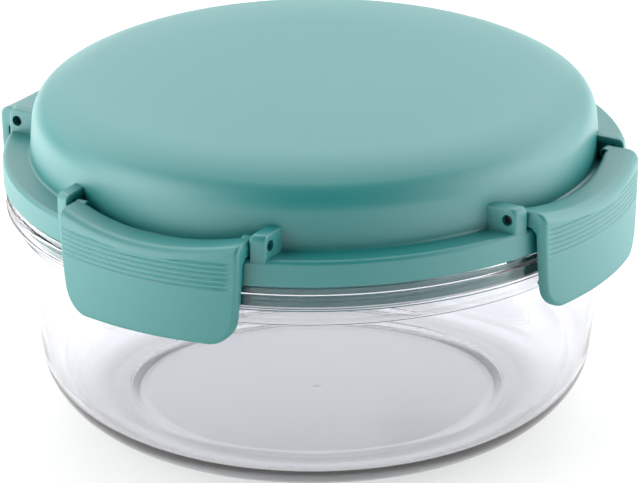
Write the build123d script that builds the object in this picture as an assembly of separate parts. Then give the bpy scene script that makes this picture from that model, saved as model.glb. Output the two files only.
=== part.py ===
from build123d import *
import math
import os

os.makedirs("parts", exist_ok=True)

# Round food container with a domed snap lid.
# Origin: on the resting plane, on the axis of the bowl.  +Z up.
# Four snap latches: front (-Y), right (+X), back (+Y), left (-X).

# ------------------------------------------------------------------ dimensions
# bowl
WALL = 1.8                 # bowl wall
FOOT_OUT_R = 55.2          # outer edge of the resting ring
FOOT_IN_R = 49.1           # inner edge of the resting ring
FOOT_SLOPE_R = 46.6        # the underside rises from here to the recess
FOOT_RECESS_Z = 0.6        # height of the underside inside the resting ring
CORNER_Z = 15.8            # where the soft bottom corner meets the wall
CORNER_R = 71.34
CORNER_EXP = 1.68          # superellipse exponent of the bottom corner
FLOOR_Z = 3.2              # inside floor over the resting ring
FLOOR_STEP_R = 49.1        # fine step at the edge of the dished middle
FLOOR_STEP_H = 0.3
FLOOR_DISC_R = 44.7        # flat middle of the floor
FLOOR_DISC_Z = 2.3
WALL_TOP_Z = 51.0          # top of the tapered wall
WALL_TOP_R = 75.6
BAND_R = 77.4              # plain band under the collar
COLLAR_R = 79.5            # collar the latches hook under
COLLAR_Z0 = 55.8
COLLAR_Z1 = 62.0
NECK_IN_R = 73.9           # bore of the neck
NECK_OUT_R = 75.6          # upstand inside the lid's flange
NECK_TOP_Z = 65.4

# lid
FLANGE_R = 80.0
FLANGE_Z0 = 62.4
LEDGE_Z = 69.15
DOME_BASE_R = 72.85
DOME_TOP_Z = 92.4
DOME_ARC_R = [1192.731, 165.814, 34.22, 8.45]    # tangent arcs, top centre outwards
DOME_ARC_DEG = [1.405, 11.042, 31.571, 85.578]   # slope at the outer end of each arc
LID_WALL = 2.0
FLANGE_IN_R = 75.9         # inside face of the flange wall
PLUG_OUT_R = 73.5          # plug skirt that reaches into the neck
PLUG_IN_R = 71.6
PLUG_Z0 = 54.6
CHANNEL_Z = 67.2           # roof of the seal channel

# lugs and hinge
LUG_A0 = 26.1              # lug faces, measured along the hinge axis
LUG_A1 = 29.9
LUG_R = 79.9               # outer face, level with the flange
LUG_CORNER_R = 1.8         # rounding of the lugs' outer top corner
LUG_TOP_Z = 75.3
HINGE_OUT = 71.8           # distance of the hinge axis from the bowl's axis
HINGE_Z = 72.25
PIN_D = 2.8                # shoulder of the pin, pressed into the lug
PIN_TIP_D = 1.6            # tip of the pin, on which the latch turns
KNUCKLE_BORE_D = 1.7       # 0.05 mm radial running clearance on the tip
KNUCKLE_R = 1.45
KNUCKLE_A0 = 22.4
KNUCKLE_A1 = 25.65
PIN_A0 = 22.5
PIN_STEP_A = 26.2
PIN_A1 = 28.1

# latches
LATCH_R_TOP = 84.15        # at z = 78; the outer face has a slight draft
LATCH_R_BOT = 83.5
LATCH_IN_R = 81.6          # inside face of the skirt
LATCH_BOT_Z = 47.4
LATCH_HALF = 25.6          # half length at the top
LATCH_BLOCK_R = 75.1       # inner edge of the top
LATCH_BLOCK_Z = 69.6       # underside of the top
LATCH_TOP_Z = 70.9         # top at mid length; the ends stand higher
LATCH_TOP_SAG_R = 112.0    # radius of the sagging top
LIP_R = 78.3               # tip of the hook
HOOK_A = 21.5              # the hook stops short of the latch's ends
DOME_FOOT_R = 0.7          # rounding between the dome and the ledge
GROOVE_Z = [68.6, 67.3, 66.0, 64.7, 63.4, 62.1]
GROOVE_TILT = 6.3          # grooves rise a little towards the ends
GROOVE_R = 0.45
GROOVE_DEPTH = 0.3


def P(r, z):
    return (r, 0, z)


def superellipse(r0, z0, a, b, n, angles):
    """Points and unit outward normals of one quarter of a superellipse."""
    pts, nrm = [], []
    for deg in angles:
        t = math.radians(deg)
        c, s = max(math.cos(t), 0.0), max(math.sin(t), 0.0)
        x, y = c ** (2 / n), s ** (2 / n)
        gx, gy = (x ** (n - 1)) / abs(a), (y ** (n - 1)) / abs(b)
        gx, gy = math.copysign(gx, a), math.copysign(gy, b)
        k = math.hypot(gx, gy)
        pts.append((r0 + a * x, z0 + b * y))
        nrm.append((gx / k, gy / k))
    return pts, nrm


def offset(pts, nrm, d):
    return [(p[0] - d * n[0], p[1] - d * n[1]) for p, n in zip(pts, nrm)]


def polyline(*pts):
    return [Line(P(*a), P(*b)) for a, b in zip(pts[:-1], pts[1:])]


def soften(label, solid, edges, radii):
    """Round the given edges with the first radius that works."""
    for r in radii:
        try:
            out = fillet(edges, r)
            if out.is_valid:
                print(label, "rounded", r, "on", len(edges), "edges")
                return out
        except Exception:
            pass
    print(label, "left sharp,", len(edges), "edges")
    return solid


def dome_points(skin):
    """Start, middle and end of each arc of the dome, at a depth under its surface."""
    r, z, a0 = 0.0, DOME_TOP_Z, 0.0
    arcs = []
    for rad, deg in zip(DOME_ARC_R, DOME_ARC_DEG):
        a1 = math.radians(deg)
        cr, cz = r - rad * math.sin(a0), z - rad * math.cos(a0)
        arcs.append([(cr + (rad - skin) * math.sin(a), cz + (rad - skin) * math.cos(a))
                     for a in (a0, (a0 + a1) / 2, a1)])
        r, z, a0 = cr + rad * math.sin(a1), cz + rad * math.cos(a1), a1
    arcs[0][0] = (0.0, DOME_TOP_Z - skin)
    return arcs


def dome_curve(arcs):
    """Edges from the side of the dome up to its top centre."""
    return [ThreePointArc(P(*c), P(*b), P(*a)) for a, b, c in reversed(arcs)]


def spun(edges, arc=360.0):
    face = make_face(edges)
    return revolve(face, axis=Axis.Z, revolution_arc=arc)


# ------------------------------------------------------------------ bowl
slope = (WALL_TOP_R - CORNER_R) / (WALL_TOP_Z - CORNER_Z)
ANG = [0, 14, 28, 44, 60, 76, 90]
corner, cn = superellipse(FOOT_OUT_R, CORNER_Z, CORNER_R - FOOT_OUT_R, -CORNER_Z,
                          CORNER_EXP, ANG)
wn = (1 / math.hypot(1, slope), -slope / math.hypot(1, slope))
cn[0] = wn
inner = offset(corner, cn, WALL)
inner_floor_r = 51.5
shift = FLOOR_Z - inner[-1][1]
n_in = len(inner)
inner = [(p[0], p[1] + shift * (i / (n_in - 1)) ** 2) for i, p in enumerate(inner)]
inner[-1] = (inner_floor_r, FLOOR_Z)

outer_corner = Spline([P(*p) for p in reversed(corner)],
                      tangents=[(1, 0, 0), (slope, 0, 1)])
inner_corner = Spline([P(*p) for p in inner],
                      tangents=[(-slope, 0, -1), (-1, 0, 0)])
wall_in_top = (WALL_TOP_R - WALL * math.hypot(1, slope), WALL_TOP_Z)

bowl_edges = polyline((0, FOOT_RECESS_Z), (FOOT_SLOPE_R, FOOT_RECESS_Z), (FOOT_IN_R, 0.0),
                      (FOOT_OUT_R, 0.0))
bowl_edges += [outer_corner]
bowl_edges += polyline(
    corner[0], (WALL_TOP_R, WALL_TOP_Z), (76.9, 51.3), (BAND_R, 51.8), (BAND_R, 55.5),
    (77.7, COLLAR_Z0), (79.2, COLLAR_Z0), (COLLAR_R, 56.1), (COLLAR_R, 56.8),
    (79.28, 57.0), (79.28, 58.7), (COLLAR_R, 58.9), (COLLAR_R, 59.7), (79.2, 60.0),
    (78.6, 60.05), (78.6, 60.55), (79.1, 60.7), (79.1, 61.6), (78.7, COLLAR_Z1),
    (75.8, COLLAR_Z1), (NECK_OUT_R, 62.2), (NECK_OUT_R, 64.9), (75.1, NECK_TOP_Z),
    (74.4, NECK_TOP_Z), (NECK_IN_R, 64.9), (NECK_IN_R, 52.0), wall_in_top, inner[0])
bowl_edges += [inner_corner]
bowl_edges += polyline((inner_floor_r, FLOOR_Z), (FLOOR_STEP_R, FLOOR_Z),
                       (FLOOR_STEP_R - 0.3, FLOOR_Z - FLOOR_STEP_H),
                       (FLOOR_DISC_R, FLOOR_DISC_Z), (0, FLOOR_DISC_Z),
                       (0, FOOT_RECESS_Z))
bowl = spun(bowl_edges)
bowl -= Pos(0, 0, FOOT_RECESS_Z - 2.25) * Sphere(2.5)         # moulding gate dimple

# ------------------------------------------------------------------ lid
dome = dome_points(0.0)
dome_in = dome_points(LID_WALL)
dome_side, dome_in_side = dome[-1][-1], dome_in[-1][-1]

lid_edges = polyline((0, PLUG_Z0), (73.1, PLUG_Z0), (PLUG_OUT_R, PLUG_Z0 + 0.4),
                     (PLUG_OUT_R, FLANGE_Z0), (79.6, FLANGE_Z0), (FLANGE_R, 62.8),
                     (FLANGE_R, 67.95))
lid_edges += [TangentArc([P(FLANGE_R, 67.95), P(78.8, LEDGE_Z)], tangent=(0, 0, 1))]
foot_r, foot_z = DOME_BASE_R + DOME_FOOT_R, LEDGE_Z + DOME_FOOT_R
lid_edges += polyline((78.8, LEDGE_Z), (foot_r, LEDGE_Z))
lid_edges += [TangentArc([P(foot_r, LEDGE_Z), P(DOME_BASE_R, foot_z)], tangent=(-1, 0, 0))]
lid_edges += polyline((DOME_BASE_R, foot_z), dome_side)
lid_edges += dome_curve(dome)
lid_edges += polyline((0, DOME_TOP_Z), (0, PLUG_Z0))
lid_full = spun(lid_edges)

cavity_edges = polyline((0, PLUG_Z0 - 1), (72.0, PLUG_Z0 - 1), (72.0, PLUG_Z0),
                        (PLUG_IN_R, PLUG_Z0 + 0.4), dome_in_side)
cavity_edges += dome_curve(dome_in)
cavity_edges += polyline((0, DOME_TOP_Z - LID_WALL), (0, PLUG_Z0 - 1))
cavity = spun(cavity_edges)
channel = spun(polyline((PLUG_OUT_R, 61.0), (76.3, 61.0), (76.3, FLANGE_Z0),
                        (FLANGE_IN_R, 62.8), (FLANGE_IN_R, CHANNEL_Z),
                        (PLUG_OUT_R, CHANNEL_Z), (PLUG_OUT_R, 61.0)))

# ring from which the lug plates are sliced: outer face flush with the flange
lug_z = LUG_TOP_Z - LUG_CORNER_R
lug_ring = spun(polyline((60, 62.7), (LUG_R, 62.7), (LUG_R, lug_z))
                + [TangentArc([P(LUG_R, lug_z), P(LUG_R - LUG_CORNER_R, LUG_TOP_Z)],
                              tangent=(0, 0, 1))]
                + polyline((LUG_R - LUG_CORNER_R, LUG_TOP_Z), (60, LUG_TOP_Z), (60, 62.7)))

SIDES = [("front", 0), ("right", 90), ("back", 180), ("left", 270)]


def slab(a0, a1, out0, out1, z0, z1):
    """Box in the front latch's frame: along = +X, out = -Y."""
    return Pos((a0 + a1) / 2, -(out0 + out1) / 2, (z0 + z1) / 2) * Box(
        a1 - a0, out1 - out0, z1 - z0)


def rod(a0, a1, d):
    """Cylinder on the front hinge axis."""
    return Pos((a0 + a1) / 2, -HINGE_OUT, HINGE_Z) * Rot(0, 90, 0) * Cylinder(
        d / 2, a1 - a0)


lid = lid_full


def is_lug_edge(e):
    c = e.center()
    on_side = min(abs(abs(c.X) - LUG_A0), abs(abs(c.X) - LUG_A1)) < 0.02
    return on_side and c.Z > 67.5 and (math.hypot(c.X, c.Y) > 79.0 or c.Z > LUG_TOP_Z - 0.8)


lug_b = lug_ring & slab(LUG_A0, LUG_A1, 65, 85, 60, 80)
lug_a = lug_ring & slab(-LUG_A1, -LUG_A0, 65, 85, 60, 80)
lug_b = soften("lug", lug_b, [e for e in lug_b.edges() if is_lug_edge(e)], [0.6, 0.4])
lug_a = soften("lug", lug_a, [e for e in lug_a.edges() if is_lug_edge(e)], [0.6, 0.4])
one_holes = rod(LUG_A0 - 0.2, LUG_A1 + 0.2, PIN_D) + rod(-LUG_A1 - 0.2, -LUG_A0 + 0.2, PIN_D)
for name, ang in SIDES:
    lid += Rot(0, 0, ang) * lug_a + Rot(0, 0, ang) * lug_b
lid = lid - cavity - channel
for name, ang in SIDES:
    lid -= Rot(0, 0, ang) * one_holes

# ------------------------------------------------------------------ seal
lid_seal = spun(polyline((73.55, 67.15), (73.55, 66.1), (74.0, 65.5), (74.5, 65.75),
                         (74.95, 65.5), (75.85, 66.1), (75.85, 67.15), (73.55, 67.15)))

# ------------------------------------------------------------------ latch
# built as the front latch: along = +X, out = -Y
def Q(x, z):
    return (x, 0, z)


def top_z(a):
    return LATCH_TOP_Z + LATCH_TOP_SAG_R - math.sqrt(LATCH_TOP_SAG_R ** 2 - a ** 2)


latch_sec = polyline(
    (LATCH_R_BOT, LATCH_BOT_Z - 1), (LATCH_R_TOP, 78.0),
    (LATCH_BLOCK_R, 78.0), (LATCH_BLOCK_R, LATCH_BLOCK_Z), (80.2, LATCH_BLOCK_Z),
    (LATCH_IN_R, 68.2), (81.5, 56.0), (79.9, 56.0), (LIP_R, 53.6), (LIP_R, 52.9),
    (79.4, 51.6), (81.3, 50.4), (81.2, LATCH_BOT_Z - 1),
    (LATCH_R_BOT, LATCH_BOT_Z - 1))
latch_ring = Rot(0, 0, -90 - 30) * spun(latch_sec, 60.0)

# the top sags towards mid length: cut it with a wide arc, then round its outer edge
zw = top_z(45)
wide = [ThreePointArc(Q(-45, zw), Q(0, LATCH_TOP_Z), Q(45, zw)),
        Line(Q(45, zw), Q(45, 30)), Line(Q(45, 30), Q(-45, 30)), Line(Q(-45, 30), Q(-45, zw))]
blank = latch_ring & extrude(make_face(wide), amount=100, dir=(0, -1, 0))


def is_top_outer(e):
    c, b = e.center(), e.bounding_box()
    return math.hypot(c.X, c.Y) > 80.5 and c.Z > 70.0 and b.size.X > 30 and b.size.Z < 9


blank = soften("latch top", blank, [e for e in blank.edges() if is_top_outer(e)],
               [2.8, 2.4])

# outline seen from outside: slightly tapered sides and round lower corners
outline = [
    Line(Q(-LATCH_HALF, 80.0), Q(LATCH_HALF, 80.0)),
    Line(Q(LATCH_HALF, 80.0), Q(LATCH_HALF, 74.0)),
    ThreePointArc(Q(LATCH_HALF, 74.0), Q(25.22, 62.0), Q(24.3, 53.6)),
    Spline([Q(24.3, 53.6), Q(17.6, LATCH_BOT_Z)],
           tangents=[(-0.17, 0, -1), (-1, 0, 0)]),
    Line(Q(17.6, LATCH_BOT_Z), Q(-17.6, LATCH_BOT_Z)),
    Spline([Q(-17.6, LATCH_BOT_Z), Q(-24.3, 53.6)],
           tangents=[(-1, 0, 0), (-0.17, 0, 1)]),
    ThreePointArc(Q(-24.3, 53.6), Q(-25.22, 62.0), Q(-LATCH_HALF, 74.0)),
    Line(Q(-LATCH_HALF, 74.0), Q(-LATCH_HALF, 80.0)),
]
latch = blank & extrude(make_face(outline), amount=100, dir=(0, -1, 0))


def is_rim(e):
    c = e.center()
    rr = min(math.hypot(v.X, v.Y) for v in e.vertices())
    if math.hypot(c.X, c.Y) > 83.2 and rr > 83.2 and c.Z < 69:
        return True
    return abs(abs(c.X) - LATCH_HALF) < 0.15 and c.Z > 72.2 and c.Y < -78


latch = soften("latch rim", latch, [e for e in latch.edges() if is_rim(e)], [0.9, 0.7, 0.5])


def is_top_inner(e):
    c, b = e.center(), e.bounding_box()
    return math.hypot(c.X, c.Y) < 77.5 and c.Z > 70.2 and b.size.X > 30 and b.size.Z < 9


latch = soften("latch inner top", latch, [e for e in latch.edges() if is_top_inner(e)],
               [1.0, 0.8, 0.5])

# the hook runs only along the middle of the latch
hook_room = spun(polyline((76.0, 50.1), (81.24, 50.1), (81.24, 50.4), (81.5, 56.05),
                          (76.0, 56.05), (76.0, 50.1)))
for a0, a1 in ((-35, -HOOK_A), (HOOK_A, 35)):
    latch -= hook_room & slab(a0, a1, 60, 90, 45, 60)

# hinge eyes at both ends of the top, and the bores for the pin tips
for a0, a1 in ((-KNUCKLE_A1, -KNUCKLE_A0), (KNUCKLE_A0, KNUCKLE_A1)):
    latch += rod(a0, a1, 2 * KNUCKLE_R)
for a0, a1 in ((-KNUCKLE_A1 - 1, -KNUCKLE_A0 + 0.5), (KNUCKLE_A0 - 0.5, KNUCKLE_A1 + 1)):
    latch -= rod(a0, a1, KNUCKLE_BORE_D)

# finger grooves: six fine rings cut into the outer face, rising a little to the ends
for z in GROOVE_Z:
    r_face = LATCH_R_BOT + (LATCH_R_TOP - LATCH_R_BOT) * (z - 46.2) / 31.8
    R = r_face - GROOVE_DEPTH + GROOVE_R
    t = math.radians(GROOVE_TILT)
    ring = Rot(GROOVE_TILT, 0, 0) * Torus(R, GROOVE_R)
    # keep the front of the tilted ring on the face at height z
    latch -= Pos(0, -R * (1 - math.cos(t)), z + R * math.sin(t)) * ring

# ------------------------------------------------------------------ pins
# shouldered pin on the hinge axis: thin tip in the latch, thick end in the lug
tip_r, end_r = PIN_TIP_D / 2, PIN_D / 2
pin_sec = [(0, PIN_A0), (tip_r - 0.2, PIN_A0), (tip_r, PIN_A0 + 0.2), (tip_r, PIN_STEP_A),
           (end_r - 0.2, PIN_STEP_A), (end_r, PIN_STEP_A + 0.2), (end_r, PIN_A1 - 0.2),
           (end_r - 0.2, PIN_A1), (0, PIN_A1), (0, PIN_A0)]
pin = spun(polyline(*pin_sec))
pin_plus = Pos(0, -HINGE_OUT, HINGE_Z) * Rot(0, 90, 0) * pin
pin_minus = Pos(0, -HINGE_OUT, HINGE_Z) * Rot(0, -90, 0) * pin

# ------------------------------------------------------------------ write
parts = {"bowl": bowl, "lid": lid, "lid_seal": lid_seal}
for name, ang in SIDES:
    turn = Rot(0, 0, ang)
    parts["latch_" + name] = turn * latch
    parts["hinge_pin_" + name + "_a"] = turn * pin_minus
    parts["hinge_pin_" + name + "_b"] = turn * pin_plus

for node, solid in parts.items():
    print(node, "volume %.1f mm3" % solid.volume, "solids", len(solid.solids()),
          "valid", solid.is_valid)
    export_step(solid, "parts/" + node + ".step")
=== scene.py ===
import math

import bmesh
import bpy
import numpy as np
from mathutils import Matrix, Vector


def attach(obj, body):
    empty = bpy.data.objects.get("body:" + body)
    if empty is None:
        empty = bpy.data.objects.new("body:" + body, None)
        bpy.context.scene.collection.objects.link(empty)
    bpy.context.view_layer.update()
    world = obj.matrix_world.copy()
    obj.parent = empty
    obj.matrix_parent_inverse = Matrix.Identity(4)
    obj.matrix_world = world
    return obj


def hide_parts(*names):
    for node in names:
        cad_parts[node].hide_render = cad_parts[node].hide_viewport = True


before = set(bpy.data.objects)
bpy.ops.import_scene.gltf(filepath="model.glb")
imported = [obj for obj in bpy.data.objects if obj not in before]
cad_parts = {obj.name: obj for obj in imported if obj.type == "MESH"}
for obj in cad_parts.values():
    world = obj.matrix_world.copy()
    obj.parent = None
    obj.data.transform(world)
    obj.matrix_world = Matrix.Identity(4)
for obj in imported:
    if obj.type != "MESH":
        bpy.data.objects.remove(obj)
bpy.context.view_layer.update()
scene = bpy.context.scene
MM = 0.001


# ------------------------------------------------------------------ node helpers
def new_material(name):
    m = bpy.data.materials.new(name)
    m.use_nodes = True
    nt = m.node_tree
    for n in list(nt.nodes):
        nt.nodes.remove(n)
    out = nt.nodes.new("ShaderNodeOutputMaterial")
    bsdf = nt.nodes.new("ShaderNodeBsdfPrincipled")
    nt.links.new(bsdf.outputs["BSDF"], out.inputs["Surface"])
    return m, nt, bsdf


def node(nt, kind, **values):
    n = nt.nodes.new(kind)
    for k, v in values.items():
        setattr(n, k, v)
    return n


def set_in(n, **values):
    for k, v in values.items():
        n.inputs[k.replace("_", " ")].default_value = v


def object_coords(nt):
    return node(nt, "ShaderNodeTexCoord").outputs["Object"]


def noise(nt, coord, scale, detail=2.0, rough=0.5):
    n = node(nt, "ShaderNodeTexNoise")
    n.inputs["Scale"].default_value = scale
    n.inputs["Detail"].default_value = detail
    n.inputs["Roughness"].default_value = rough
    nt.links.new(coord, n.inputs["Vector"])
    return n.outputs["Fac"]


def ramp(nt, fac, stops):
    n = node(nt, "ShaderNodeValToRGB")
    cr = n.color_ramp
    while len(cr.elements) < len(stops):
        cr.elements.new(0.5)
    for e, (p, c) in zip(cr.elements, stops):
        e.position = p
        e.color = (*c, 1.0) if len(c) == 3 else c
    nt.links.new(fac, n.inputs["Fac"])
    return n.outputs["Color"]


def map_range(nt, fac, lo, hi, a=0.0, b=1.0):
    n = node(nt, "ShaderNodeMapRange")
    n.inputs["From Min"].default_value = a
    n.inputs["From Max"].default_value = b
    n.inputs["To Min"].default_value = lo
    n.inputs["To Max"].default_value = hi
    nt.links.new(fac, n.inputs["Value"])
    return n.outputs["Result"]


def bump(nt, height, strength, distance, normal=None):
    n = node(nt, "ShaderNodeBump")
    n.inputs["Strength"].default_value = strength
    n.inputs["Distance"].default_value = distance
    nt.links.new(height, n.inputs["Height"])
    if normal is not None:
        nt.links.new(normal, n.inputs["Normal"])
    return n.outputs["Normal"]


# ------------------------------------------------------------------ materials
def teal_plastic():
    """Matt moulded polypropylene with a faint flow mottle and a fine satin grain."""
    m, nt, p = new_material("teal_satin")
    co = object_coords(nt)
    cloud = noise(nt, co, 22.0, 3.0)
    col = ramp(nt, cloud, [(0.3, (0.0035, 0.172, 0.168)), (0.7, (0.0045, 0.184, 0.180))])
    nt.links.new(col, p.inputs["Base Color"])
    fine = noise(nt, co, 1600.0, 2.0)
    nt.links.new(map_range(nt, cloud, 0.43, 0.49), p.inputs["Roughness"])
    nt.links.new(bump(nt, fine, 0.2, 0.00002), p.inputs["Normal"])
    set_in(p, IOR=1.5, Specular_IOR_Level=1.0)
    return m


def clear_plastic():
    """Clear moulded plastic, faintly cool, its base a little dulled by standing and stacking."""
    m, nt, p = new_material("clear_plastic")
    co = object_coords(nt)
    cloud = noise(nt, co, 9.0, 2.0)
    xyz = node(nt, "ShaderNodeSeparateXYZ")
    nt.links.new(co, xyz.inputs[0])
    base = node(nt, "ShaderNodeMapRange", interpolation_type="SMOOTHSTEP")
    base.inputs["From Min"].default_value = 0.0033
    base.inputs["From Max"].default_value = 0.0050
    base.inputs["To Min"].default_value = 0.17
    base.inputs["To Max"].default_value = 0.0
    nt.links.new(xyz.outputs["Z"], base.inputs["Value"])
    rough = node(nt, "ShaderNodeMath", operation="ADD")
    nt.links.new(map_range(nt, cloud, 0.0, 0.02), rough.inputs[0])
    nt.links.new(base.outputs["Result"], rough.inputs[1])
    nt.links.new(rough.outputs["Value"], p.inputs["Roughness"])
    set_in(p, Base_Color=(0.88, 0.885, 0.915, 1.0), IOR=1.5, Transmission_Weight=1.0)
    return m


def silicone():
    m, nt, p = new_material("seal_silicone")
    co = object_coords(nt)
    n = noise(nt, co, 300.0, 2.0)
    col = ramp(nt, n, [(0.3, (0.67, 0.72, 0.72)), (0.7, (0.72, 0.77, 0.77))])
    nt.links.new(col, p.inputs["Base Color"])
    nt.links.new(map_range(nt, n, 0.5, 0.6), p.inputs["Roughness"])
    set_in(p, Subsurface_Weight=0.2)
    p.inputs["Subsurface Radius"].default_value = (0.002, 0.002, 0.002)
    p.inputs["Subsurface Scale"].default_value = 1.0
    return m


def steel():
    """Steel pin, dulled by handling, its near-black colour painted shade for the deep hole it sits in.
    """
    m, nt, p = new_material("pin_steel")
    co = object_coords(nt)
    n = noise(nt, co, 900.0, 2.0)
    nt.links.new(map_range(nt, n, 0.25, 0.4), p.inputs["Roughness"])
    # near-black colour: painted shade of the deep pin hole
    col = ramp(nt, n, [(0.3, (0.055, 0.057, 0.060)), (0.7, (0.085, 0.088, 0.092))])
    nt.links.new(col, p.inputs["Base Color"])
    set_in(p, Metallic=1.0)
    return m


TEAL = teal_plastic()
CLEAR = clear_plastic()
SEAL = silicone()
PIN_STEEL_PAINTED_SHADE = steel()


# ------------------------------------------------------------------ profiles
def arc_pts(c, rad, a0, a1, n):
    """Points of an arc, angles in degrees."""
    return [(c[0] + rad * math.cos(math.radians(a0 + (a1 - a0) * i / n)),
             c[1] + rad * math.sin(math.radians(a0 + (a1 - a0) * i / n)))
            for i in range(n + 1)]


def superellipse(r0, z0, a, b, n, count):
    pts = []
    for i in range(count + 1):
        t = math.pi / 2 * i / count
        c, s = max(math.cos(t), 0.0), max(math.sin(t), 0.0)
        pts.append((r0 + a * c ** (2 / n), z0 + b * s ** (2 / n)))
    return pts


def resample(pts, step):
    """The same curve with points at about equal distances."""
    p = np.array(pts, float)
    d = np.r_[0, np.cumsum(np.hypot(*np.diff(p, axis=0).T))]
    n = max(int(round(d[-1] / step)), 2)
    q = np.linspace(0, d[-1], n + 1)
    return [(float(x), float(y)) for x, y in
            zip(np.interp(q, d, p[:, 0]), np.interp(q, d, p[:, 1]))]


def rounded(pts, step=15.0, support=0.3):
    """Corner points (r, z, radius) to a profile with each corner rounded and supported."""
    out = []
    n = len(pts)
    for i, p in enumerate(pts):
        x, y = p[0], p[1]
        rad = p[2] if len(p) > 2 else 0.0
        if i in (0, n - 1) or rad <= 0:
            out.append((x, y))
            continue
        v0 = Vector((pts[i - 1][0] - x, pts[i - 1][1] - y))
        v1 = Vector((pts[i + 1][0] - x, pts[i + 1][1] - y))
        l0, l1 = v0.length, v1.length
        v0.normalize()
        v1.normalize()
        turn = math.pi - v0.angle(v1)
        if turn < math.radians(4):
            out.append((x, y))
            continue
        cut = min(rad * math.tan(turn / 2), 0.46 * l0, 0.46 * l1)
        rad = cut / math.tan(turn / 2)
        a = Vector((x, y)) + v0 * cut
        b = Vector((x, y)) + v1 * cut
        mid = (v0 + v1).normalized()
        c = Vector((x, y)) + mid * (rad / math.cos(turn / 2))
        k = max(2, int(math.ceil(math.degrees(turn) / step)))
        ang0 = math.atan2(a.y - c.y, a.x - c.x)
        ang1 = math.atan2(b.y - c.y, b.x - c.x)
        while ang1 - ang0 > math.pi:
            ang1 -= 2 * math.pi
        while ang1 - ang0 < -math.pi:
            ang1 += 2 * math.pi
        if l0 - cut > 3 * support:
            s = a + v0 * support
            out.append((s.x, s.y))
        for j in range(k + 1):
            t = ang0 + (ang1 - ang0) * j / k
            out.append((c.x + rad * math.cos(t), c.y + rad * math.sin(t)))
        if l1 - cut > 3 * support:
            s = b + v1 * support
            out.append((s.x, s.y))
    clean = [out[0]]
    for q in out[1:]:
        if math.hypot(q[0] - clean[-1][0], q[1] - clean[-1][1]) > 1e-4:
            clean.append(q)
    return clean


# ------------------------------------------------------------------ mesh helpers
def make_object(name, verts, faces):
    me = bpy.data.meshes.new(name)
    me.from_pydata([tuple(v) for v in verts], [], faces)
    me.validate()
    o = bpy.data.objects.new(name, me)
    scene.collection.objects.link(o)
    return o


def fix_normals(o):
    bm = bmesh.new()
    bm.from_mesh(o.data)
    bmesh.ops.recalc_face_normals(bm, faces=bm.faces)
    if bm.calc_volume(signed=True) < 0:
        bmesh.ops.reverse_faces(bm, faces=bm.faces)
    bm.to_mesh(o.data)
    bm.free()


def shade(o, angle=35.0):
    me = o.data
    me.polygons.foreach_set("use_smooth", [True] * len(me.polygons))
    me.set_sharp_from_angle(angle=math.radians(angle))
    me.update()


def finish_piece(o, mat, body, slot, *nodes):
    o.data.materials.clear()
    o.data.materials.append(mat)
    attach(o, body)
    if nodes:
        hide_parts(*nodes)
    return o


def boolean(o, tools, op):
    """Apply one exact boolean with the joined tools, and drop them."""
    bm = bmesh.new()
    for t in tools:
        bm.from_mesh(t.data)
    me = bpy.data.meshes.new("tool")
    bm.to_mesh(me)
    bm.free()
    tool = bpy.data.objects.new("tool", me)
    scene.collection.objects.link(tool)
    mod = o.modifiers.new("cut", "BOOLEAN")
    mod.operation = op
    mod.solver = "MANIFOLD"
    mod.object = tool
    dg = bpy.context.evaluated_depsgraph_get()
    done = bpy.data.meshes.new_from_object(o.evaluated_get(dg))
    o.modifiers.clear()
    old = o.data
    o.data = done
    bpy.data.meshes.remove(old)
    bpy.data.objects.remove(tool)
    bpy.data.meshes.remove(me)
    for t in tools:
        m = t.data
        bpy.data.objects.remove(t)
        bpy.data.meshes.remove(m)
    return o


def lathe(name, prof, seg, radius=None):
    """Closed body of revolution; prof starts and ends on the axis. radius(i, ang, r) may vary it."""
    verts, rings = [], []
    for i, (r, z) in enumerate(prof):
        if r < 1e-6:
            rings.append([len(verts)])
            verts.append((0.0, 0.0, z * MM))
            continue
        ring = []
        for k in range(seg):
            a = 2 * math.pi * k / seg
            rr = r if radius is None else radius(i, a, r)
            ring.append(len(verts))
            verts.append((rr * math.cos(a) * MM, rr * math.sin(a) * MM, z * MM))
        rings.append(ring)
    faces = []
    for a, b in zip(rings[:-1], rings[1:]):
        for k in range(seg):
            k2 = (k + 1) % seg
            if len(a) == 1 and len(b) == 1:
                continue
            if len(a) == 1:
                faces.append((a[0], b[k], b[k2]))
            elif len(b) == 1:
                faces.append((a[k], b[0], a[k2]))
            else:
                faces.append((a[k], b[k], b[k2], a[k2]))
    o = make_object(name, verts, faces)
    fix_normals(o)
    return o


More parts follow.
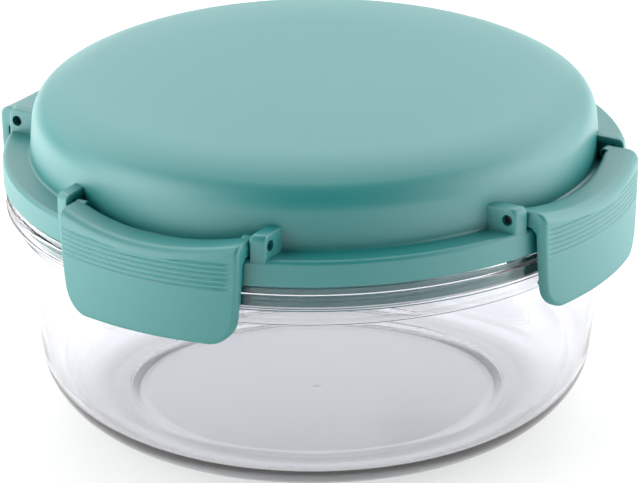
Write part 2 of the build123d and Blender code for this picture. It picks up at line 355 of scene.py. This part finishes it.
# ------------------------------------------------------------------ bowl
def bowl():
    wall = 1.8
    slope = (75.6 - 71.34) / (51.0 - 15.8)
    corner = superellipse(55.2, 15.8, 16.14, -15.8, 1.68, 160)      # wall -> foot
    p = np.array(corner)
    t = np.gradient(p, axis=0)
    t /= np.hypot(t[:, 0], t[:, 1])[:, None]
    nrm = np.c_[-t[:, 1], t[:, 0]]
    if nrm[0, 0] < 0:
        nrm = -nrm
    k = np.linspace(0, 1, len(p))[:, None]
    inner = p - wall * nrm
    inner = inner + np.c_[np.zeros(len(p)), (3.2 - inner[-1, 1]) * k[:, 0] ** 2]
    # land softly on the floor at r = 51.5
    inner[:, 0] += (51.5 - inner[-1, 0]) * k[:, 0] ** 4
    outer_corner = resample(list(reversed(corner)), 0.7)
    inner_corner = resample([tuple(q) for q in inner], 0.7)
    hyp = math.hypot(1, slope)
    tall = [(76.9, 51.3, 0.25), (77.4, 51.8, 0.3), (77.4, 55.5, 0.25), (77.7, 55.8, 0.1),
            (79.2, 55.8, 0.1), (79.5, 56.1, 0.2), (79.5, 56.8, 0.1), (79.28, 57.0, 0.1),
            (79.28, 58.7, 0.1), (79.5, 58.9, 0.1), (79.5, 59.7, 0.2), (79.2, 60.0, 0.1),
            (78.6, 60.05, 0.1), (78.6, 60.55, 0.1), (79.1, 60.7, 0.15), (79.1, 61.6, 0.25),
            (78.7, 62.0, 0.25), (75.8, 62.0, 0.15), (75.6, 62.2, 0.15), (75.6, 64.9, 0.4),
            (75.1, 65.4, 0.4), (74.4, 65.4, 0.4), (73.9, 64.9, 0.4)]
    prof = [(0.0, 0.66), (0.5, 0.655), (1.0, 0.63), (1.5, 0.605), (2.0, 0.60), (3.0, 0.6)]
    prof += rounded([(3.0, 0.6), (46.6, 0.6, 2.5), (49.1, 0.0, 1.5), (55.2, 0.0, 0.0)],
                    step=3.0)[1:]
    prof += outer_corner[1:]
    prof += rounded([outer_corner[-1], (75.6, 51.0, 0.35)] + tall
                    + [(73.9, 52.2, 1.5), (75.6 - wall * hyp, 50.2, 1.5),
                       inner_corner[0]])[1:]
    prof += inner_corner[1:]
    prof += rounded([inner_corner[-1], (49.1, 3.2, 0.12), (48.8, 2.9, 0.3), (44.7, 2.3, 4.0),
                     (3.0, 2.3)])[1:]
    prof += [(0.0, 2.3)]
    o = lathe("bowl_body", prof, 512)
    shade(o, 60.0)
    return finish_piece(o, CLEAR, "bowl_body", "clear_plastic", "bowl")


# ------------------------------------------------------------------ lid
SIDES = [("front", 0), ("right", 90), ("back", 180), ("left", 270)]
DOME_R = [1192.731, 165.814, 34.22, 8.45]
DOME_DEG = [1.405, 11.042, 31.571, 85.578]


def dome(skin, step):
    """Top centre to the side of the dome, at a depth under its surface."""
    r, z, a0 = 0.0, 92.4, 0.0
    pts = [(0.0, 92.4 - skin)]
    for rad, deg in zip(DOME_R, DOME_DEG):
        a1 = math.radians(deg)
        cr, cz = r - rad * math.sin(a0), z - rad * math.cos(a0)
        n = max(3, int(math.ceil((rad * (a1 - a0)) / step)),
                int(math.ceil(math.degrees(a1 - a0) / 3.0)))
        for i in range(1, n + 1):
            a = a0 + (a1 - a0) * i / n
            pts.append((cr + (rad - skin) * math.sin(a), cz + (rad - skin) * math.cos(a)))
        r, z, a0 = cr + rad * math.sin(a1), cz + rad * math.cos(a1), a1
    return pts


def flange(edge_r, top_rad, low_rad):
    """Ledge, outer face and underside of the flange, from the dome's foot to the seal channel."""
    return rounded([(74.2, 69.15), (edge_r, 69.15, top_rad), (edge_r, 62.4, low_rad),
                    (75.95, 62.4, 0.15)], step=9.0)


def lug_plate(a0, a1):
    """One lug in the front latch's frame: an L-shaped plate whose outer face follows the flange."""
    sec = rounded([(71.45, 69.2), (71.45, 75.3), (79.9, 75.3, 1.8), (79.9, 67.0),
                   (79.9, 64.0), (76.7, 64.0), (76.7, 68.3), (71.45, 68.3),
                   (71.45, 69.2)], step=9.0, support=0.5)[:-1]
    verts = []
    for a in (a0, a1):
        for r, z in sec:
            verts.append((a * MM, -math.sqrt(r * r - a * a) * MM, z * MM))
    n = len(sec)
    faces = [tuple(range(n)), tuple(range(2 * n - 1, n - 1, -1))]
    faces += [(i, (i + 1) % n, n + (i + 1) % n, n + i) for i in range(n)]
    me = bpy.data.meshes.new("lug")
    me.from_pydata(verts, [], faces)
    bm = bmesh.new()
    bm.from_mesh(me)
    bmesh.ops.recalc_face_normals(bm, faces=bm.faces)
    # round the visible edges of both side faces
    sides = [f for f in bm.faces if len(f.verts) == n]
    edges = []
    for f in sides:
        for e in f.edges:
            m = (e.verts[0].co + e.verts[1].co) / 2 / MM
            r = math.hypot(m.x, m.y)
            if (r > 78.5 and m.z > 62.6) or m.z > 74.0:
                edges.append(e)
    bmesh.ops.bevel(bm, geom=edges, offset=0.6 * MM, offset_type="OFFSET", segments=4,
                    profile=0.5, affect="EDGES", clamp_overlap=True)
    bm.to_mesh(me)
    bm.free()
    o = bpy.data.objects.new("lug", me)
    scene.collection.objects.link(o)
    return o


def turned(o, ang):
    o.data.transform(Matrix.Rotation(math.radians(ang), 4, "Z"))
    return o


def rod(a0, a1, d, seg=48, out=71.8, z=72.25):
    """Cylinder along the front hinge axis."""
    verts = []
    for a in (a0, a1):
        for k in range(seg):
            t = 2 * math.pi * k / seg
            verts.append((a * MM, (-out + d / 2 * math.cos(t)) * MM, (z + d / 2 * math.sin(t)) * MM))
    faces = [tuple(range(seg)), tuple(range(2 * seg - 1, seg - 1, -1))]
    faces += [(k, (k + 1) % seg, seg + (k + 1) % seg, seg + k) for k in range(seg)]
    o = make_object("rod", verts, faces)
    fix_normals(o)
    return o


def lid():
    seg = 720
    top = dome(0.0, 1.2)
    foot = arc_pts((73.55, 69.85), 0.7, 180, 270, 8)      # foot of the dome
    head = top + [(72.55 + 0.12, 74.0), (72.83, 70.3)]
    head += [(q[0], q[1]) for q in foot]
    plain = flange(80.0, 1.2, 0.4)
    tail = rounded([(75.95, 62.4), (75.9, 62.8, 0.0), (75.9, 67.2, 0.3), (73.5, 67.2, 0.3),
                    (73.5, 55.0, 0.2), (73.1, 54.6, 0.2), (72.0, 54.6, 0.2),
                    (71.6, 55.0, 0.2), dome(2.0, 1.2)[-1]])
    inner = list(reversed(dome(2.0, 1.2)))
    prof = head + [p for p in plain[1:]] + tail[1:-1] + inner
    o = lathe("lid_shell", prof, seg)
    lugs = []
    for _, ang in SIDES:
        for a0, a1 in ((26.1, 29.9), (-29.9, -26.1)):
            lugs.append(turned(lug_plate(a0, a1), ang))
    boolean(o, lugs, "UNION")
    holes = []
    for _, ang in SIDES:
        holes.append(turned(rod(25.9, 30.3, 2.8), ang))
        holes.append(turned(rod(-30.3, -25.9, 2.8), ang))
    boolean(o, holes, "DIFFERENCE")
    shade(o, 32.0)
    return finish_piece(o, TEAL, "lid_body", "teal_plastic", "lid")


# ------------------------------------------------------------------ latches
RIM = 0.9                 # rounding of the latch's outer rim
GROOVES = [68.6, 67.3, 66.0, 64.7, 63.4, 62.1]
KNUCKLE = (22.4, 25.65)
STRETCH = 30              # levels between the plain face and the rounded top edge
BLOCK_R = 75.1            # inner edge of the top
HOOK_A = 21.5             # half length of the hook


def outline_curve():
    """Half outline seen from outside, as (half width, z) from the bottom edge up."""
    pts = [(0.0, 47.4), (17.6, 47.4)]
    # cubic from (17.6, 47.4) to (24.3, 53.6), tangent to the edge and to the side
    L = math.hypot(6.7, 6.2)
    h0, h1 = (L * 1.05, 0.0), (0.17 / math.hypot(0.17, 1) * L * 1.05, L * 1.05 / math.hypot(0.17, 1))
    for i in range(1, 61):
        t = i / 60
        a, b = 2 * t ** 3 - 3 * t ** 2 + 1, t ** 3 - 2 * t ** 2 + t
        c, d = -2 * t ** 3 + 3 * t ** 2, t ** 3 - t ** 2
        pts.append((a * 17.6 + b * h0[0] + c * 24.3 + d * h1[0],
                    a * 47.4 + b * h0[1] + c * 53.6 + d * h1[1]))
    # arc through (25.22, 62) to (25.6, 74), then straight up
    c = np.polyfit([53.6, 62.0, 74.0], [24.3, 25.22, 25.6], 2)
    for z in np.linspace(54.0, 74.0, 60):
        pts.append((float(np.polyval(c, z)), float(z)))
    pts.append((25.6, 82.0))
    return np.array(pts)


OUTLINE = outline_curve()


def half_width(z):
    side = OUTLINE[1:]
    return float(np.interp(z, side[:, 1], side[:, 0]))


def rim_distance(a, z):
    """Distance inside the outline."""
    p = np.array([abs(a), z])
    A, B = OUTLINE[:-1], OUTLINE[1:]
    ab = B - A
    t = np.clip(((p - A) * ab).sum(1) / (ab ** 2).sum(1), 0, 1)
    q = A + ab * t[:, None]
    return float(np.hypot(*(q - p).T).min())


def drop(d, rad):
    if d >= rad:
        return 0.0
    return rad - math.sqrt(max(rad * rad - (rad - d) ** 2, 0.0))


def top_height(a):
    return 70.9 + 112.0 - math.sqrt(112.0 ** 2 - a * a)


def outer_r(z):
    return 83.5 + 0.65 * (z - 46.2) / 31.8


def groove(a, z, w):
    end = min(max((w - 1.3 - abs(a)) / 1.1, 0.0), 1.0)
    if end <= 0:
        return 0.0
    end = end * end * (3 - 2 * end)
    rise = (84.0 - math.sqrt(84.0 ** 2 - a * a)) * math.tan(math.radians(6.3))
    for g in GROOVES:
        s = abs(z - g - rise)
        if s < 0.45:
            return 0.30 * end * (0.5 + 0.5 * math.cos(math.pi * s / 0.45))
    return 0.0


def latch_sections():
    """Section round the latch: kind, parameter.  Outer face, top, inside face, hook, bottom."""
    f = [1 - math.cos(math.radians(x)) for x in (0, 15, 30, 45, 60, 75, 90)]
    low = [47.4 + RIM * x for x in f] + [48.5, 48.8, 49.2, 49.6, 50.0, 50.4, 50.9, 51.4, 51.9,
                                         52.4, 52.9, 53.25, 53.6, 54.2, 54.8, 55.4, 56.0, 56.3,
                                         57.5, 58.7, 59.9, 60.9]
    fine = [61.3 + 0.105 * i for i in range(82)]                   # 61.3 .. 69.8
    return low, [z for z in fine if z < 67.95]


def latch_mesh():
    low, fine = latch_sections()
    inset = [RIM * (1 - math.cos(math.radians(x))) for x in (0, 15, 30, 45, 60, 75, 90)] + [1.15]
    inner = np.linspace(-1, 1, 61)
    cols = [(-1, e) for e in inset] + [(0, u) for u in inner[1:-1]] + [(1, e) for e in reversed(inset)]

    def along(col, z):
        w = half_width(z)
        kind, v = col
        if kind == 0:
            return v * (w - 1.15)
        return kind * (w - v)

    levels = low + fine
    z_fix = levels[-1]
    verts, grid = [], []

    def put(a, r, z):
        verts.append((a * MM, -math.sqrt(r * r - a * a) * MM, z * MM))
        return len(verts) - 1

    # inside path, from the top's inner edge down to the bottom edge, as (r, z)
    inside = rounded([(77.5, 69.6), (80.2, 69.6, 0.5), (81.6, 68.2, 0.6), (81.52, 57.5)],
                     step=18.0)[1:-1]
    hook = [(81.5, 56.9), (81.42, 56.5), (81.2, 56.3), (80.8, 56.2), (80.2, 56.1),
            (79.9, 56.0), (79.5, 55.4), (79.1, 54.8), (78.7, 54.2), (78.38, 53.6),
            (78.3, 53.25), (78.42, 52.9), (78.8, 52.4), (79.22, 51.9), (79.75, 51.4),
            (80.55, 50.9), (81.22, 50.4), (81.27, 50.0)]

    for col in cols:
        ring = []
        # outer face up to the finger grooves
        for z in levels:
            a = along(col, z)
            d = rim_distance(a, z)
            w = half_width(z)
            r = outer_r(z) - drop(d, RIM) - groove(a, z, w)
            ring.append(put(a, r, z))
        # the rest of the outer face stretches up to the sagging top
        a_top = along(col, 74.0)
        top = top_height(a_top)
        d = 25.6 - abs(a_top)
        dr = drop(d, RIM)
        z1 = top - 2.8
        steps = STRETCH
        for i in range(1, steps + 1):
            z = z_fix + (z1 - z_fix) * i / steps
            a = along(col, z)
            w = half_width(z)
            r = outer_r(z) - drop(min(rim_distance(a, z), w - abs(a)), RIM) - groove(a, z, w)
            ring.append(put(a, r, z))
        rc = outer_r(top) - 2.8
        for i in range(1, 13):
            t = math.radians(90 * i / 12)
            ring.append(put(a_top, rc + (2.8 - dr) * math.cos(t),
                            z1 + (2.8 - dr) * math.sin(t)))
        for r in (80.6, 79.9, 79.0, 78.0, 77.2, 76.6):
            ring.append(put(a_top, r, top - dr))
        # rounded inner edge, then the wall over the ledge and the underside
        d2 = drop(d, 0.25)
        k = 1.0
        for t in (12, 30, 50, 70, 90):
            q = math.radians(t)
            ring.append(put(a_top, BLOCK_R + k - (k - d2) * math.sin(q),
                            top - dr - k + (k - 0.0) * math.cos(q)))
        ring.append(put(a_top, BLOCK_R + d2, 69.82 + d2))
        ring.append(put(a_top, BLOCK_R + 0.22 + d2, 69.6 + d2))
        ring.append(put(a_top, 76.6, 69.6 + d2))
        for r, z in inside:
            a = along(col, z)
            ring.append(put(a, r + d2 * 0.7, z + (d2 if z > 69 else 0)))
        for z in (66.0, 63.0, 60.0, 58.0):
            a = along(col, z)
            ring.append(put(a, 81.5 + 0.1 * (z - 56) / 12.2 + d2, z))
        for r, z in hook:
            a = along(col, z)
            dd = drop(rim_distance(a, z), 0.25)
            wall_r = 81.27 + 0.24 * (z - 50.0) / 6.9
            full = min(max((HOOK_A + 0.3 - abs(a)) / 0.6, 0.0), 1.0)
            ring.append(put(a, wall_r + (r - wall_r) * full + dd, z))
        for z in (49.6, 49.2, 48.8, 48.4, 48.1, 47.85, 47.65, 47.5):
            a = along(col, z)
            dd = drop(rim_distance(a, z), 0.25)
            ring.append(put(a, 81.25 + dd, z))
        ring.append(put(along(col, 47.4), 81.25 + 0.25, 47.4))
        ring.append(put(along(col, 47.4), 81.9, 47.4))
        grid.append(ring)
    n = len(grid[0])
    faces = []
    for a, b in zip(grid[:-1], grid[1:]):
        for j in range(n):
            j2 = (j + 1) % n
            faces.append((a[j], b[j], b[j2], a[j2]))

    # end caps: join the outer path to the inside path level by level
    def cap(ring, flip):
        out = []
        zs = [verts[i][2] for i in ring]
        # index of the last outer point and of the first inside point
        split = len(levels) + STRETCH + 12
        outer = list(range(0, len(levels) + STRETCH))
        back = list(range(n - 1, split + 6 + 5 + 2, -1))      # bottom edge upwards, inside path
        i, j = 0, 0
        while i < len(outer) - 1 or j < len(back) - 1:
            zi = zs[outer[i + 1]] if i < len(outer) - 1 else 1e9
            zj = zs[back[j + 1]] if j < len(back) - 1 else 1e9
            if j < len(back) - 1 and (zj <= zi or i >= len(outer) - 1):
                out.append((ring[outer[i]], ring[back[j + 1]], ring[back[j]]))
                j += 1
            elif i < len(outer) - 1 and verts[ring[back[j]]][2] < 68.0 * MM:
                out.append((ring[outer[i]], ring[outer[i + 1]], ring[back[j]]))
                i += 1
            else:
                break
        rest = [ring[k] for k in range(outer[i], back[j] + 1)]
        out.append(tuple(rest))
        if flip:
            out = [tuple(reversed(f)) for f in out]
        return out

    faces += cap(grid[0], False)
    faces += cap(grid[-1], True)
    return verts, faces


def knuckle(a0, a1, seg=64):
    """Eye round the pin's tip at one end of a latch, with softened edges."""
    e = 0.25
    verts, faces = [], []
    rows = [(a0, 1.45 - e), (a0 + 0.3 * e, 1.45 - 0.3 * e), (a0 + e, 1.45), (a1 - e, 1.45),
            (a1 - 0.3 * e, 1.45 - 0.3 * e), (a1, 1.45 - e)]
    for a, rad in rows:
        for k in range(seg):
            t = 2 * math.pi * k / seg
            verts.append((a * MM, -(71.8 + rad * math.cos(t)) * MM,
                          (72.25 + rad * math.sin(t)) * MM))
    for i in range(len(rows) - 1):
        for k in range(seg):
            k2 = (k + 1) % seg
            faces.append((i * seg + k, i * seg + k2, (i + 1) * seg + k2, (i + 1) * seg + k))
    last = (len(rows) - 1) * seg
    faces += [tuple(range(seg)), tuple(range(last + seg - 1, last - 1, -1))]
    o = make_object("knuckle", verts, faces)
    fix_normals(o)
    return o


def latches():
    verts, faces = latch_mesh()
    o = make_object("latch", verts, faces)
    bm = bmesh.new()
    bm.from_mesh(o.data)
    bmesh.ops.remove_doubles(bm, verts=bm.verts, dist=1e-7)
    bmesh.ops.dissolve_degenerate(bm, edges=bm.edges, dist=1e-8)
    bm.to_mesh(o.data)
    bm.free()
    fix_normals(o)
    ends = [knuckle(KNUCKLE[0], KNUCKLE[1]), knuckle(-KNUCKLE[1], -KNUCKLE[0])]
    boolean(o, ends, "UNION")
    boolean(o, [rod(21.9, 26.6, 1.7), rod(-26.6, -21.9, 1.7)], "DIFFERENCE")
    shade(o, 38.0)
    base = o.data
    made = []
    for name, ang in SIDES:
        me = base.copy()
        me.name = "latch_" + name
        me.transform(Matrix.Rotation(math.radians(ang), 4, "Z"))
        p = bpy.data.objects.new("latch_" + name + "_skin", me)
        scene.collection.objects.link(p)
        made.append(finish_piece(p, TEAL, "latch_" + name + "_body", "teal_plastic",
                                 "latch_" + name))
    bpy.data.objects.remove(o)
    bpy.data.meshes.remove(base)
    return made


bowl()
lid()
latches()

for name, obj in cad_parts.items():
    mat = SEAL if name == "lid_seal" else PIN_STEEL_PAINTED_SHADE if name.startswith("hinge_pin") else None
    if mat is None:
        continue
    for s in obj.material_slots:
        s.material = mat
    if not obj.material_slots:
        obj.data.materials.append(mat)
    for poly in obj.data.polygons:
        poly.use_smooth = True


# ------------------------------------------------------------------ floor and light
def floor():
    """Plain pale sweep with a painted glow: emission that lightens the shade under the object, a
    little dimmer far in front and brighter towards both sides of the studio.
    """
    o = make_object("studio_floor", [(-6, -6, -0.0002), (6, -6, -0.0002), (6, 6, -0.0002),
                                     (-6, 6, -0.0002)], [(0, 1, 2, 3)])
    m, nt, p = new_material("studio_floor")
    co = object_coords(nt)
    n = noise(nt, co, 0.5, 2.0)
    col = ramp(nt, n, [(0.3, (0.44, 0.44, 0.442)), (0.7, (0.46, 0.46, 0.462))])
    nt.links.new(col, p.inputs["Base Color"])

    def side(direction, start, end, near, far):
        """Value going from near to far along one horizontal direction."""
        d = node(nt, "ShaderNodeVectorMath", operation="DOT_PRODUCT")
        nt.links.new(co, d.inputs[0])
        d.inputs[1].default_value = direction
        r = node(nt, "ShaderNodeMapRange", interpolation_type="SMOOTHSTEP")
        r.inputs["From Min"].default_value = start
        r.inputs["From Max"].default_value = end
        r.inputs["To Min"].default_value = near
        r.inputs["To Max"].default_value = far
        nt.links.new(d.outputs["Value"], r.inputs["Value"])
        return r.outputs["Result"]

    right = (math.cos(AZ), math.sin(AZ), 0.0)
    left = (-right[0], -right[1], 0.0)
    front = (math.sin(AZ), -math.cos(AZ), 0.0)
    # painted light: the floor glows, fully near and behind the object, less far in front
    glow = side(front, 0.10, 0.24, FLOOR_GLOW, 0.40)
    for direction, level in ((left, FLOOR_LEFT), (right, FLOOR_RIGHT)):
        add = node(nt, "ShaderNodeMath", operation="ADD")
        nt.links.new(glow, add.inputs[0])
        nt.links.new(side(direction, 0.10, 0.28, 0.0, level), add.inputs[1])
        glow = add.outputs["Value"]
    nt.links.new(glow, p.inputs["Emission Strength"])
    set_in(p, Roughness=0.9, Specular_IOR_Level=0.1)
    p.inputs["Emission Color"].default_value = (1.0, 1.0, 1.0, 1.0)
    o.data.materials.append(m)


# painted light: emission levels of the floor, near the object and towards each side
FLOOR_GLOW, FLOOR_LEFT, FLOOR_RIGHT = 0.60, 2.35, 1.9
AZ = math.radians(30.63)
floor()


def direction(az_deg, el_deg):
    """Unit vector towards azimuth az_deg from the photographer's side."""
    a, e = AZ + math.radians(az_deg), math.radians(el_deg)
    return (math.sin(a) * math.cos(e), -math.cos(a) * math.cos(e), math.sin(e))


def studio_world():
    """Soft studio: a bright background and large soft sources, dim on the photographer's side."""
    w = bpy.data.worlds.new("studio")
    scene.world = w
    w.use_nodes = True
    nt = w.node_tree
    bg = nt.nodes["Background"]
    co = node(nt, "ShaderNodeTexCoord").outputs["Generated"]

    def lobe(az, el, inner, outer, level):
        d = node(nt, "ShaderNodeVectorMath", operation="DOT_PRODUCT")
        nt.links.new(co, d.inputs[0])
        d.inputs[1].default_value = direction(az, el)
        m = node(nt, "ShaderNodeMapRange", interpolation_type="SMOOTHSTEP")
        m.inputs["From Min"].default_value = math.cos(math.radians(outer))
        m.inputs["From Max"].default_value = math.cos(math.radians(inner))
        m.inputs["To Min"].default_value = 0.0
        m.inputs["To Max"].default_value = level
        nt.links.new(d.outputs["Value"], m.inputs["Value"])
        return m.outputs["Result"]

    total = None
    for args in WORLD_LOBES:
        v = lobe(*args)
        if total is None:
            total = v
        else:
            add = node(nt, "ShaderNodeMath", operation="ADD")
            nt.links.new(total, add.inputs[0])
            nt.links.new(v, add.inputs[1])
            total = add.outputs["Value"]
    base = node(nt, "ShaderNodeMath", operation="ADD")
    nt.links.new(total, base.inputs[0])
    base.inputs[1].default_value = WORLD_BASE
    seen = node(nt, "ShaderNodeLightPath").outputs["Is Camera Ray"]
    pick = node(nt, "ShaderNodeMix", data_type="FLOAT")
    nt.links.new(seen, pick.inputs["Factor"])
    nt.links.new(base.outputs["Value"], pick.inputs["A"])
    pick.inputs["B"].default_value = 1.0
    bg.inputs["Color"].default_value = (1.0, 1.0, 1.0, 1.0)
    nt.links.new(pick.outputs["Result"], bg.inputs["Strength"])


WORLD_BASE = 0.0
WORLD_LOBES = [           # azimuth, elevation, inner and outer half-angle, radiance
    (60, 6, 8, 26, 0.49), (90, 6, 8, 26, 3.31), (120, 6, 8, 26, 1.53), (150, 6, 8, 26, 0.33),
    (180, 6, 8, 26, 1.27), (-150, 6, 8, 26, 0.32), (-120, 6, 8, 26, 0.14),
    (-90, 6, 8, 26, 2.72), (-60, 6, 8, 26, 2.26), (72, 32, 10, 30, 1.79),
    (108, 32, 10, 30, 2.26), (144, 32, 10, 30, 2.02), (180, 32, 10, 30, 0.5),
    (-144, 32, 10, 30, 2.13), (-108, 32, 10, 30, 1.23), (-72, 32, 10, 30, 3.48),
    (180, 60, 12, 34, 2.46),
]
studio_world()

# ------------------------------------------------------------------ camera
D, ELEV, TZ = 1.07202, math.radians(21.94), 0.04315
cam_data = bpy.data.cameras.new("camera")
cam_data.sensor_width = 36.0
cam_data.lens = 4135.23 * 36.0 / 640.0
cam_data.shift_x = (320.0 - 315.51) / 640.0
cam_data.shift_y = -(241.5 - 237.84) / 640.0
cam_data.clip_start = 0.05
cam_data.clip_end = 50.0
cam = bpy.data.objects.new("camera", cam_data)
scene.collection.objects.link(cam)
loc = Vector((D * math.cos(ELEV) * math.sin(AZ), -D * math.cos(ELEV) * math.cos(AZ),
              TZ + D * math.sin(ELEV)))
look = Vector((0, 0, TZ)) - loc
quat = look.to_track_quat("-Z", "Y")
cam.location = loc
cam.rotation_mode = "QUATERNION"
cam.rotation_quaternion = quat @ Matrix.Rotation(math.radians(-0.56), 4, "Z").to_quaternion()
scene.camera = cam
scene.view_settings.view_transform = "Standard"
scene.view_settings.look = "None"

# ------------------------------------------------------------------ update the view layer
scene.view_layers[0].update()
